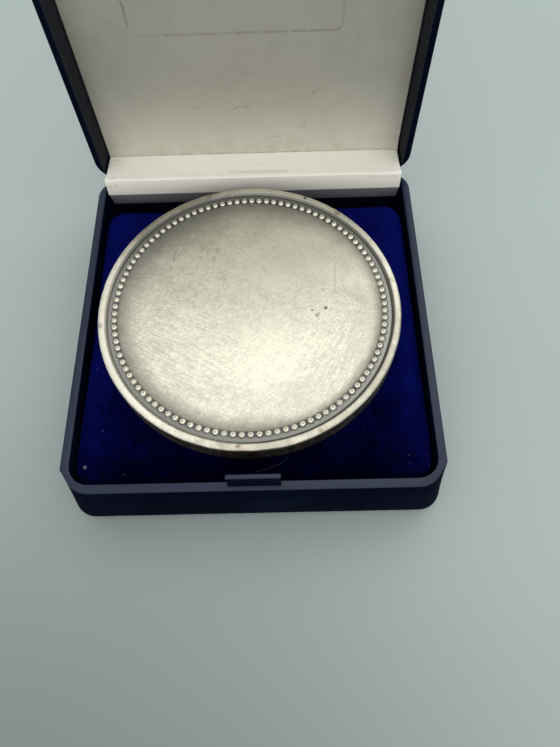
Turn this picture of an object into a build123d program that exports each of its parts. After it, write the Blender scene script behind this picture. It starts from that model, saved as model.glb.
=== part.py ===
"""Commemorative medal, blank and beaded, lying on the velvet pad of an open hinged presentation box.

Millimetres. +X is the viewer's right, +Y is the hinge side and +Z is up. The origin is the centre of the
base's underside. The lid is built shut, over the base, and is then turned open about the hinge axis.
"""
from build123d import *
import math
import os

# Medal
MEDAL_DIAMETER = 70.0
MEDAL_THICKNESS = 5.9
RIM_BAND_WIDTH = 2.0
RIM_EDGE_ROUNDING = 0.6
FACE_STEP = 0.7
FACE_STEP_SLOPE = 0.25
BEAD_COUNT = 105
BEAD_RING_INSET = 1.75
BEAD_DIAMETER = 1.4
BEAD_HEIGHT = 0.5
DISH_INSET = 1.05
DISH_SLOPE_WIDTH = 7.0
DISH_DEPTH = 0.25

# Space round the medal, from its edge to the inner walls of the box
SPACE_LEFT = 3.8
SPACE_RIGHT = 5.1
SPACE_FRONT = 5.05
SPACE_BACK = 6.65

# Moulded walls of base and lid
BASE_HEIGHT = 20.2
WALL = 1.8
FLOOR = 1.8
WALL_FLARE = 1.75
LOWER_CORNER_RADIUS = 5.0
BACK_CORNER_RADIUS = 5.5
FRONT_CORNER_RADIUS = 5.5
FRONT_CORNER_ALONG_FRONT = 6.55
FRONT_CORNER_ALONG_SIDE = 5.15
POCKET_FRONT_CORNER_RADIUS = 4.7
POCKET_BACK_CORNER_RADIUS = 0.8
BASE_EDGE_ROUNDING = 4.0
ROUNDING_MARGIN = 0.8

# Catch
TONGUE_WIDTH = 11.2
TONGUE_THICKNESS = 0.9
TONGUE_HEIGHT = 6.4
TONGUE_SETBACK = 0.75
TONGUE_OFFSET = 0.4
TONGUE_ROUNDING = 0.25
CATCH_CLEARANCE = 0.3
CATCH_FRONT_CLEARANCE = 0.15

# Velvet pad
PAD_BELOW_RIM = 1.0
PAD_SIDE_GAP = 0.35
PAD_FRONT_GAP = 0.3
PAD_BACK_SPACE = 7.25
PAD_EDGE_ROUNDING = 0.9
REST_GAP = 0.05

# Lid
HINGE_BEHIND_WALL = 0.2
HINGE_ABOVE_RIM = 0.15
OPEN_ANGLE = 92.2
LID_HEADROOM = 1.4
LID_PLATE = 2.3
LID_EDGE_ROUNDING = 4.0
LINING_THICKNESS = 0.6
LINING_SIDE_GAP = 0.6

# Folded strip over the spring hinge: one leaf on the base's back wall, one on the lid's
LEAF_SIDE_GAP = 0.65
LEAF_THICKNESS = 0.5
LEAF_CLEARANCE = 0.3
LIP_REACH = 2.6
LIP_THICKNESS = 0.55
LIP_SURFACE_HEIGHT = 2.75
LEAF_END_HEIGHT = 1.95
NOSE_ABOVE_RIM = 3.95
NOSE_LEAN = 0.8
NOSE_FACE_BELOW_RIM = 0.4
FLANGE_FALL = 0.1
FOLD_SPACE = 0.85
FOLD_BELOW_RIM = 5.5
FOOT_BELOW_RIM = 12.0

# Worked out from the above
MEDAL_RADIUS = MEDAL_DIAMETER / 2
HALF_POCKET_WIDTH = (SPACE_LEFT + MEDAL_DIAMETER + SPACE_RIGHT) / 2
HALF_POCKET_DEPTH = (SPACE_FRONT + MEDAL_DIAMETER + SPACE_BACK) / 2
HALF_WIDTH = HALF_POCKET_WIDTH + WALL
HALF_DEPTH = HALF_POCKET_DEPTH + WALL
MEDAL_X = (SPACE_LEFT - SPACE_RIGHT) / 2
MEDAL_Y = (SPACE_FRONT - SPACE_BACK) / 2
PAD_TOP = BASE_HEIGHT - PAD_BELOW_RIM
MEDAL_BOTTOM = PAD_TOP + REST_GAP
HINGE_Y = HALF_DEPTH + HINGE_BEHIND_WALL
HINGE_Z = BASE_HEIGHT + HINGE_ABOVE_RIM
LID_RIM_Z = BASE_HEIGHT + 2 * HINGE_ABOVE_RIM
LINING_FACE_DEPTH = MEDAL_BOTTOM + MEDAL_THICKNESS + LID_HEADROOM - LID_RIM_Z
LID_POCKET_DEPTH = LINING_FACE_DEPTH + LINING_THICKNESS + REST_GAP
LID_HEIGHT = LID_POCKET_DEPTH + LID_PLATE
LEAF_HALF_WIDTH = HALF_POCKET_WIDTH - LEAF_SIDE_GAP
LIP_SWING_RADIUS = math.hypot(LIP_REACH - HINGE_ABOVE_RIM, LIP_SURFACE_HEIGHT + HINGE_BEHIND_WALL)
NOSE_RISE = NOSE_FACE_BELOW_RIM + NOSE_ABOVE_RIM - LEAF_THICKNESS
NOSE_SLOPE = NOSE_LEAN / NOSE_RISE
NOSE_SPACE = (LIP_SWING_RADIUS + LEAF_CLEARANCE) * math.hypot(1, NOSE_SLOPE)
NOSE_FACE_Y = (
    HINGE_Y - NOSE_SPACE - (HINGE_ABOVE_RIM + NOSE_FACE_BELOW_RIM) * NOSE_SLOPE - LEAF_THICKNESS
)
CATCH_SWING = TONGUE_HEIGHT**2 / (2 * (HINGE_Y + HALF_DEPTH))


def outline(level, growth, corner_radius=None):
    """Box outline at a height, grown outward from the rim's own outline.

    Without a corner radius it is the rim's outline: the back corners are round, and each front corner is
    an arc that runs smoothly into the front and ends in a straight cut, which meets the side at an angle.
    With one, all corners are round, and each front corner's arc is parted where the rim's cut starts.
    """
    x = HALF_WIDTH + growth
    y = HALF_DEPTH + growth
    back = corner_radius or BACK_CORNER_RADIUS
    front = corner_radius or FRONT_CORNER_RADIUS
    centre_x = x - (corner_radius or FRONT_CORNER_ALONG_FRONT)
    centre_y = -y + front
    side_y = -y + (corner_radius or FRONT_CORNER_ALONG_SIDE)
    tip = Vector(FRONT_CORNER_ALONG_FRONT, FRONT_CORNER_ALONG_SIDE - FRONT_CORNER_RADIUS)
    tip_turn = math.degrees(math.atan2(tip.Y, tip.X))
    sweep = 90 + tip_turn - math.degrees(math.acos(FRONT_CORNER_RADIUS / tip.length))
    turn = math.radians(sweep)
    cut_x = centre_x + front * math.sin(turn)
    cut_y = centre_y - front * math.cos(turn)
    if corner_radius:
        right_end = CenterArc((centre_x, centre_y), front, 270 + sweep, 90 - sweep)
        left_end = CenterArc((-centre_x, centre_y), front, 180, 90 - sweep)
    else:
        right_end = Line((cut_x, cut_y), (x, side_y))
        left_end = Line((-x, side_y), (-cut_x, cut_y))
    edges = [
        Line((-centre_x, -y), (centre_x, -y)),
        CenterArc((centre_x, centre_y), front, 270, sweep),
        right_end,
        Line((x, side_y), (x, y - back)),
        CenterArc((x - back, y - back), back, 0, 90),
        Line((x - back, y), (-x + back, y)),
        CenterArc((-x + back, y - back), back, 90, 90),
        Line((-x, y - back), (-x, side_y)),
        left_end,
        CenterArc((-centre_x, centre_y), front, 270 - sweep, sweep),
    ]
    return Location((0, 0, level)) * make_face(Wire(edges))


def closed_form(height, edge_rounding):
    """Solid outer form of base or lid, rim up: the rim's outline, flared walls and a rounded lower edge."""
    join_height = edge_rounding + ROUNDING_MARGIN
    flare = WALL_FLARE / BASE_HEIGHT
    foot = outline(0, flare * height, LOWER_CORNER_RADIUS)
    join = outline(join_height, flare * (height - join_height), LOWER_CORNER_RADIUS)
    rim = outline(height, 0)
    lower = loft([foot, join], ruled=True)
    lower = fillet(lower.edges().group_by(Axis.Z)[0], edge_rounding)
    return lower + loft([join, rim], ruled=True)


def pocket(floor_level, rim_level):
    """Straight-walled pocket inside the rim."""
    plan = Rectangle(2 * HALF_POCKET_WIDTH, 2 * HALF_POCKET_DEPTH)
    plan = fillet(plan.vertices().group_by(Axis.Y)[0], POCKET_FRONT_CORNER_RADIUS)
    plan = fillet(plan.vertices().group_by(Axis.Y)[-1], POCKET_BACK_CORNER_RADIUS)
    return extrude(Location((0, 0, floor_level)) * plan, rim_level - floor_level)


def swing_open(solid):
    """Turn a lid piece open about the hinge axis, from its shut place."""
    return solid.rotate(Axis((0, HINGE_Y, HINGE_Z), (1, 0, 0)), -OPEN_ANGLE)


def strip_piece(points):
    """Piece of the hinge strip, as wide as the strip, with its side profile given as (y, z) points."""
    profile = make_face(Plane.YZ * Polyline(*points, close=True))
    return extrude(profile, LEAF_HALF_WIDTH, both=True)


def leaf_surface(depth):
    """Height of the lid leaf's surface inside the lid's outer back face, at a depth behind the lid's rim."""
    share = (depth + LIP_REACH) / (LINING_FACE_DEPTH + LIP_REACH)
    return LIP_SURFACE_HEIGHT + share * (LEAF_END_HEIGHT - LIP_SURFACE_HEIGHT)


def make_medal():
    """Disc with raised rims, a beaded band and a dished field on the face, and a plain reverse."""
    r = MEDAL_RADIUS
    step = r - RIM_BAND_WIDTH
    band = step - FACE_STEP_SLOPE
    bead_ring = step - BEAD_RING_INSET
    dish = bead_ring - DISH_INSET
    dish_floor = dish - DISH_SLOPE_WIDTH
    top = MEDAL_THICKNESS
    low = top - FACE_STEP
    e = RIM_EDGE_ROUNDING
    diagonal = e * math.cos(math.radians(45))
    profile = [
        Line((0, FACE_STEP), (band, FACE_STEP)),
        Line((band, FACE_STEP), (step, 0)),
        Line((step, 0), (r - e, 0)),
        ThreePointArc((r - e, 0), (r - e + diagonal, e - diagonal), (r, e)),
        Line((r, e), (r, top - e)),
        ThreePointArc((r, top - e), (r - e + diagonal, top - e + diagonal), (r - e, top)),
        Line((r - e, top), (step, top)),
        Line((step, top), (band, low)),
        Line((band, low), (dish, low)),
        Line((dish, low), (dish_floor, low - DISH_DEPTH)),
        Line((dish_floor, low - DISH_DEPTH), (0, low - DISH_DEPTH)),
        Line((0, low - DISH_DEPTH), (0, FACE_STEP)),
    ]
    disc = revolve(make_face(Plane.XZ * Wire(profile)), Axis.Z)
    dome_radius = (BEAD_DIAMETER**2 / 4 + BEAD_HEIGHT**2) / (2 * BEAD_HEIGHT)
    dome = Location((0, 0, low + BEAD_HEIGHT - dome_radius)) * Sphere(dome_radius)
    beads = [place * dome for place in PolarLocations(bead_ring, BEAD_COUNT)]
    return Location((MEDAL_X, MEDAL_Y, MEDAL_BOTTOM)) * (disc + beads)


def make_box_base():
    """Moulded tray with the catch tongue standing on its front rim."""
    tray = closed_form(BASE_HEIGHT, BASE_EDGE_ROUNDING)
    tray -= pocket(FLOOR, BASE_HEIGHT)
    tongue = Box(
        TONGUE_WIDTH, TONGUE_THICKNESS, TONGUE_HEIGHT + WALL, align=(Align.CENTER, Align.MIN, Align.MAX)
    )
    tongue = fillet(tongue.edges().group_by(Axis.Z)[-1], TONGUE_ROUNDING)
    return tray + Location((TONGUE_OFFSET, -HALF_DEPTH + TONGUE_SETBACK, BASE_HEIGHT + TONGUE_HEIGHT)) * tongue


def make_velvet_pad():
    """Pad that fills the tray up to the hinge strip, with round corners and a soft upper edge."""
    front = -HALF_POCKET_DEPTH + PAD_FRONT_GAP
    back = HALF_POCKET_DEPTH - PAD_BACK_SPACE
    bottom = FLOOR + REST_GAP
    plan = RectangleRounded(
        2 * (HALF_POCKET_WIDTH - PAD_SIDE_GAP), back - front, POCKET_FRONT_CORNER_RADIUS - PAD_FRONT_GAP
    )
    pad = extrude(Location((0, (front + back) / 2, bottom)) * plan, PAD_TOP - bottom)
    return fillet(pad.edges().group_by(Axis.Z)[-1], PAD_EDGE_ROUNDING)


def make_base_hinge_leaf():
    """Folded sheet that rises from behind the pad and turns back over the hinge line."""
    t = LEAF_THICKNESS
    nose_y = NOSE_FACE_Y + NOSE_LEAN
    nose_z = BASE_HEIGHT + NOSE_ABOVE_RIM
    face_z = BASE_HEIGHT - NOSE_FACE_BELOW_RIM
    fold_y = HALF_POCKET_DEPTH - FOLD_SPACE - t
    fold_z = BASE_HEIGHT - FOLD_BELOW_RIM
    foot_y = HALF_POCKET_DEPTH - REST_GAP - t
    foot_z = BASE_HEIGHT - FOOT_BELOW_RIM
    flange_z = nose_z - FLANGE_FALL
    flange_y = HALF_DEPTH - leaf_surface(flange_z - t - LID_RIM_Z) - LEAF_CLEARANCE
    return strip_piece([
        (foot_y, foot_z),
        (fold_y, fold_z),
        (NOSE_FACE_Y, face_z),
        (nose_y, nose_z),
        (flange_y, flange_z),
        (flange_y, flange_z - t),
        (nose_y + t, nose_z - t),
        (NOSE_FACE_Y + t, face_z),
        (fold_y + t, fold_z),
        (foot_y + t, foot_z),
    ])


def make_box_lid():
    """Shallow tray like the base, built rim down over it, with a notch for the catch tongue."""
    lid = closed_form(LID_HEIGHT, LID_EDGE_ROUNDING)
    lid -= pocket(LID_HEIGHT - LID_POCKET_DEPTH, LID_HEIGHT)
    lid = mirror(lid, Plane.XY.offset((LID_RIM_Z + LID_HEIGHT) / 2))
    notch = Box(
        TONGUE_WIDTH + 2 * CATCH_CLEARANCE,
        WALL,
        BASE_HEIGHT + TONGUE_HEIGHT + CATCH_CLEARANCE - LID_RIM_Z,
        align=(Align.CENTER, Align.MIN, Align.MIN),
    )
    notch_front = -HALF_DEPTH + TONGUE_SETBACK - CATCH_SWING - CATCH_FRONT_CLEARANCE
    return swing_open(lid - Location((TONGUE_OFFSET, notch_front, LID_RIM_Z)) * notch)


def make_lid_lining():
    """Thin panel on the floor of the lid's pocket."""
    front = -HALF_POCKET_DEPTH + LINING_SIDE_GAP
    back = HALF_POCKET_DEPTH - REST_GAP
    plan = Rectangle(2 * (HALF_POCKET_WIDTH - LINING_SIDE_GAP), back - front)
    plan = fillet(plan.vertices().group_by(Axis.Y)[0], POCKET_FRONT_CORNER_RADIUS - LINING_SIDE_GAP)
    place = Location((0, (front + back) / 2, LID_RIM_Z + LINING_FACE_DEPTH))
    return swing_open(extrude(place * plan, LINING_THICKNESS))


def make_lid_hinge_leaf():
    """Wedge on the lid's back wall, with a lip that reaches past the lid's rim to the folded sheet."""
    surface_y = HALF_DEPTH - LIP_SURFACE_HEIGHT
    under_y = HALF_POCKET_DEPTH - REST_GAP
    end_z = LID_RIM_Z + LINING_FACE_DEPTH - REST_GAP
    lip_z = LID_RIM_Z - LIP_REACH
    leaf = strip_piece([
        (surface_y, lip_z),
        (HALF_DEPTH - LEAF_END_HEIGHT, end_z),
        (under_y, end_z),
        (under_y, LID_RIM_Z),
        (surface_y + LIP_THICKNESS, LID_RIM_Z),
        (surface_y + LIP_THICKNESS, lip_z),
    ])
    return swing_open(leaf)


PIECES = {
    "medal": make_medal,
    "box_base": make_box_base,
    "velvet_pad": make_velvet_pad,
    "base_hinge_leaf": make_base_hinge_leaf,
    "box_lid": make_box_lid,
    "lid_lining": make_lid_lining,
    "lid_hinge_leaf": make_lid_hinge_leaf,
}

if __name__ == "__main__":
    os.makedirs("parts", exist_ok=True)
    for name, make in PIECES.items():
        solid = make()
        export_step(solid, f"parts/{name}.step")
        print(name, "volume", round(solid.volume, 1), "valid", solid.is_valid)
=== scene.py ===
"""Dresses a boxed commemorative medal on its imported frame.

The struck silver medal, the moulded navy box with its velvet pad, the lid's lining and the white strip
over the hinge are each built and finished by a class of their own. Lengths in the classes are in
millimetres, and the meshes are in metres in the frame of the solids.
"""

import logging
import math
import random
from dataclasses import dataclass
from enum import Enum
from typing import Callable, Iterable

import bmesh
import bpy
from mathutils import Matrix, Vector, noise


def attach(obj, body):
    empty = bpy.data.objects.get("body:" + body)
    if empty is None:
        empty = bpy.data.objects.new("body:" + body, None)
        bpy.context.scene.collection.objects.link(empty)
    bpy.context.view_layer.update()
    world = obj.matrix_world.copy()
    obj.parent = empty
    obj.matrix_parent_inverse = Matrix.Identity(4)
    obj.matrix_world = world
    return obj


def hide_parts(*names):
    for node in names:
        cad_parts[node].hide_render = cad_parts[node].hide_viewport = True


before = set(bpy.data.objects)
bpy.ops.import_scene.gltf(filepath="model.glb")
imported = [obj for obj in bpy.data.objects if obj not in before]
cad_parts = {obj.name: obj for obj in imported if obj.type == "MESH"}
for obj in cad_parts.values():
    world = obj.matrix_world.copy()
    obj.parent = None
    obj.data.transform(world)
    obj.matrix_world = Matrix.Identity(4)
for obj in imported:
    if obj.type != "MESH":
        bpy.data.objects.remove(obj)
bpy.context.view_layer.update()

MM = 0.001
Colour = tuple[float, float, float]
Point = tuple[float, float]
Span = tuple[float, float]
Place = tuple[float, float, float]
# A dot is its centre, radius and strength, and a line is its start, end, width and strength.
Dot = tuple[Point, float, float]
Line = tuple[Point, Point, float, float]
log = logging.getLogger("boxed_medal")


class Body(Enum):
    """The two moving parts of the object."""

    BASE = "base"
    LID = "lid"


class Slot(Enum):
    """The finishes that the object's record knows."""

    MEDAL = "medal"
    SHELL = "box_shell"
    VELVET = "velvet"
    STRIP = "hinge_leaf"
    LINING = "lining"


# Shader maths


class Wire:
    """One output of a node, on which arithmetic adds Math nodes."""

    def __init__(self, nodes: "Nodes", socket: bpy.types.NodeSocket) -> None:
        """Keeps the nodes that it is one of and the output socket."""
        self.nodes = nodes
        self.socket = socket

    def output(self, name: "int | str") -> "Wire":
        """Returns another output of the same node."""
        return Wire(self.nodes, self.socket.node.outputs[name])

    def math(self, operation: str, *values: "Wire | float", clamp: bool = False) -> "Wire":
        """Adds one Math node.

        Args:
            operation: The Math node's operation.
            values: What goes into its inputs, in order.
            clamp: Whether the result is kept between 0 and 1.

        Returns:
            The node's output.
        """
        inputs = dict(enumerate(values))
        return self.nodes.node("ShaderNodeMath", {"operation": operation, "use_clamp": clamp}, inputs)

    def __add__(self, other: "Wire | float") -> "Wire":
        """Returns self + other."""
        return self.math("ADD", self, other)

    def __radd__(self, other: float) -> "Wire":
        """Returns other + self."""
        return self.math("ADD", other, self)

    def __sub__(self, other: "Wire | float") -> "Wire":
        """Returns self - other."""
        return self.math("SUBTRACT", self, other)

    def __rsub__(self, other: float) -> "Wire":
        """Returns other - self."""
        return self.math("SUBTRACT", other, self)

    def __mul__(self, other: "Wire | float") -> "Wire":
        """Returns self * other."""
        return self.math("MULTIPLY", self, other)

    def __rmul__(self, other: float) -> "Wire":
        """Returns other * self."""
        return self.math("MULTIPLY", other, self)

    def __truediv__(self, other: "Wire | float") -> "Wire":
        """Returns self / other."""
        return self.math("DIVIDE", self, other)

    def __pow__(self, other: "Wire | float") -> "Wire":
        """Returns self to the power of other."""
        return self.math("POWER", self, other)

    def __abs__(self) -> "Wire":
        """Returns the size of self without its sign."""
        return self.math("ABSOLUTE", self)

    def smallest(self, other: "Wire | float") -> "Wire":
        """Returns the smaller of the two."""
        return self.math("MINIMUM", self, other)

    def largest(self, other: "Wire | float") -> "Wire":
        """Returns the larger of the two."""
        return self.math("MAXIMUM", self, other)

    def ramp(self, low: float, high: float) -> "Wire":
        """Maps self smoothly to 0 at low and to 1 at high, in either order.

        Args:
            low: The value that gives 0.
            high: The value that gives 1.

        Returns:
            The mapped value.
        """
        if low > high:
            return 1.0 - self.ramp(high, low)
        values = {"Value": self, "From Min": low, "From Max": high}
        return self.nodes.node("ShaderNodeMapRange", {"interpolation_type": "SMOOTHSTEP"}, values)


class Nodes:
    """A node tree, with short calls for the nodes that a finish or the room's light uses."""

    def __init__(self, tree: bpy.types.NodeTree) -> None:
        """Takes a node tree and empties it."""
        self.tree = tree
        self.tree.nodes.clear()

    def feed(self, socket: bpy.types.NodeSocket, value: "Wire | float | tuple") -> None:
        """Links a wire to an input, or sets the input's own value.

        Args:
            socket: The input.
            value: A wire, a number, a vector or a colour.
        """
        if isinstance(value, Wire):
            self.tree.links.new(value.socket, socket)
        elif socket.type == "RGBA":
            socket.default_value = (*value[:3], 1.0)
        else:
            socket.default_value = value

    def add(self, kind: str, settings: dict | None = None, values: dict | None = None) -> bpy.types.Node:
        """Adds one node.

        Args:
            kind: The node's type.
            settings: Its settings, set first.
            values: What goes into its inputs, by name or number.

        Returns:
            The node.
        """
        made = self.tree.nodes.new(kind)
        for key, value in (settings or {}).items():
            setattr(made, key, value)
        for key, value in (values or {}).items():
            self.feed(made.inputs[key], value)
        return made

    def node(self, kind: str, settings: dict | None = None, values: dict | None = None,
             output: "int | str" = 0) -> Wire:
        """Adds one node and returns the output that is wanted."""
        return Wire(self, self.add(kind, settings, values).outputs[output])

    def vector(self, operation: str, first: "Wire | tuple", second: "Wire | tuple | None" = None,
               output: "int | str" = 0, **extra: "Wire | float") -> Wire:
        """Adds one Vector Math node.

        Args:
            operation: The node's operation.
            first: Its first vector.
            second: Its second vector, if it has one.
            output: The output that is wanted.
            extra: Its other inputs by name.

        Returns:
            That output.
        """
        values = {0: first, **extra}
        if second is not None:
            values[1] = second
        return self.node("ShaderNodeVectorMath", {"operation": operation}, values, output)

    def parts(self, vector: Wire) -> tuple[Wire, Wire, Wire]:
        """Returns the x, y and z of a vector."""
        x = self.node("ShaderNodeSeparateXYZ", None, {0: vector})
        return x, x.output(1), x.output(2)

    def join(self, x: "Wire | float", y: "Wire | float", z: "Wire | float") -> Wire:
        """Returns the vector of three numbers."""
        return self.node("ShaderNodeCombineXYZ", None, {0: x, 1: y, 2: z})

    def mix(self, share: "Wire | float", first: "Wire | Colour", second: "Wire | Colour") -> Wire:
        """Mixes two colours.

        Args:
            share: The share of the second colour.
            first: The first colour.
            second: The second colour.

        Returns:
            The mixed colour.
        """
        return self.node("ShaderNodeMix", {"data_type": "RGBA"}, {0: share, 6: first, 7: second}, 2)


class Graph(Nodes):
    """A material, with short calls for its patterns."""

    def __init__(self, name: str, **constants: "float | Colour") -> None:
        """Makes the material, its shader and the place in millimetres.

        Args:
            name: The material's name.
            constants: Values of the shader's own sockets, with _ for a space.
        """
        self.material = bpy.data.materials.new(name)
        self.material.use_nodes = True
        super().__init__(self.material.node_tree)
        values = {key.replace("_", " "): value for key, value in constants.items()}
        self.shader = self.add("ShaderNodeBsdfPrincipled", None, values)
        self.add("ShaderNodeOutputMaterial", None, {"Surface": Wire(self, self.shader.outputs[0])})
        where = self.node("ShaderNodeTexCoord", output="Object")
        self.place = self.vector("SCALE", where, Scale=1 / MM)

    def cloud(self, size: float, detail: float = 3.0, rough: float = 0.6, stretch: Place = (1, 1, 1),
              turn: float = 0.0) -> Wire:
        """Adds a noise pattern on the piece.

        Args:
            size: The size of its patches in millimetres.
            detail: How many finer layers it has.
            rough: How strong the finer layers are.
            stretch: How much longer the patches are along each axis, after the turn.
            turn: The angle in degrees by which the pattern is turned about the upright axis.

        Returns:
            A value about 0.5, from 0 to 1.
        """
        place = self.place
        if turn:
            spin = {"Vector": place, "Rotation": (0, 0, math.radians(-turn))}
            place = self.node("ShaderNodeMapping", None, spin)
        if stretch != (1, 1, 1):
            place = self.vector("DIVIDE", place, stretch)
        values = {"Vector": place, "Scale": 1 / size, "Detail": detail, "Roughness": rough}
        return self.node("ShaderNodeTexNoise", None, values)

    def wavered(self, flat: Wire, size: float, reach: float) -> Wire:
        """Shifts a place on the surface a little and unevenly, so that lines on it are not straight.

        Args:
            flat: The place on the surface, with a z of 0.
            size: The size of the wavering in millimetres.
            reach: How far it shifts at most.

        Returns:
            The shifted place.
        """
        sway = self.cloud(size, detail=2.0, rough=0.5).output("Color")
        sway = self.vector("SUBTRACT", sway, (0.5, 0.5, 0.5))
        return self.vector("ADD", flat, self.vector("MULTIPLY", sway, (2 * reach, 2 * reach, 0)))

    def specks(self, spacing: float, radius: float, share: float, seed: float = 0.0) -> Wire:
        """Adds small round specks that are strewn over the piece.

        Args:
            spacing: The usual distance between places for a speck, in millimetres.
            radius: A speck's radius in millimetres.
            share: The share of the places that hold a speck.
            seed: A shift that gives another strewing.

        Returns:
            1 in a speck and 0 elsewhere.
        """
        place = self.vector("ADD", self.place, (seed, seed * 0.7, seed * 0.3))
        settings = {"voronoi_dimensions": "3D", "feature": "F1"}
        away = self.node("ShaderNodeTexVoronoi", settings, {"Vector": place, "Scale": 1 / spacing})
        near = away.ramp(radius / spacing, 0.4 * radius / spacing)
        chance = self.parts(away.output("Color"))[0]
        return near * chance.math("LESS_THAN", chance, share)

    def spot(self, flat: Wire, centre: Point, radius: float) -> Wire:
        """Marks one soft round spot.

        Args:
            flat: The place on the surface, with a z of 0.
            centre: The spot's centre.
            radius: Where it ends.

        Returns:
            1 in the middle and 0 outside.
        """
        away = self.vector("DISTANCE", flat, (*centre, 0), output="Value")
        return away.ramp(radius, 0.35 * radius)

    def stroke(self, flat: Wire, start: Point, end: Point, width: float) -> Wire:
        """Marks one straight scratch or line.

        Args:
            flat: The place on the surface, with a z of 0.
            start: The line's start.
            end: The line's end.
            width: Its width.

        Returns:
            1 along the line and 0 outside.
        """
        run = (end[0] - start[0], end[1] - start[1], 0.0)
        long = run[0] ** 2 + run[1] ** 2
        gone = self.vector("SUBTRACT", flat, (*start, 0))
        along = self.vector("DOT_PRODUCT", gone, run, output="Value")
        share = along.math("DIVIDE", along, long, clamp=True)
        nearest = self.vector("SCALE", run, Scale=share)
        away = self.vector("DISTANCE", gone, nearest, output="Value")
        return away.ramp(0.5 * width, 0.15 * width)

    def strokes(self, flat: Wire, lines: Iterable[Line]) -> Wire:
        """Marks several lines.

        Args:
            flat: The place on the surface, with a z of 0.
            lines: Each line's start, end, width and strength.

        Returns:
            The strength of the nearest line.
        """
        marks = [self.stroke(flat, start, end, width) * share for start, end, width, share in lines]
        return self.strongest(marks)

    def spots(self, flat: Wire, places: Iterable[Dot]) -> Wire:
        """Marks several spots.

        Args:
            flat: The place on the surface, with a z of 0.
            places: Each spot's centre, radius and strength.

        Returns:
            The strength of the nearest spot.
        """
        return self.strongest([self.spot(flat, centre, radius) * share for centre, radius, share in places])

    @staticmethod
    def strongest(marks: list[Wire]) -> Wire:
        """Finds the largest of several masks.

        Args:
            marks: The masks.

        Returns:
            Their largest value at each place.
        """
        most = marks[0]
        for mark in marks[1:]:
            most = most.largest(mark)
        return most

    def relief(self, height: Wire, depth: float, strength: float = 1.0, under: Wire | None = None) -> Wire:
        """Adds a Bump node.

        Args:
            height: The pattern, from 0 to 1.
            depth: What 1 stands for, in millimetres.
            strength: How much of it is seen.
            under: Another relief that this one lies on.

        Returns:
            The bent normal.
        """
        values = {"Height": height, "Distance": depth * MM, "Strength": strength}
        if under is not None:
            values["Normal"] = under
        return self.node("ShaderNodeBump", None, values)

    def finish(self, **inputs: "Wire | float") -> bpy.types.Material:
        """Links the patterns to the shader.

        Args:
            inputs: The shader's inputs by name, with _ for a space.

        Returns:
            The finished material.
        """
        for key, value in inputs.items():
            self.feed(self.shader.inputs[key.replace("_", " ")], value)
        return self.material


# Steps at the bench


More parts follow.
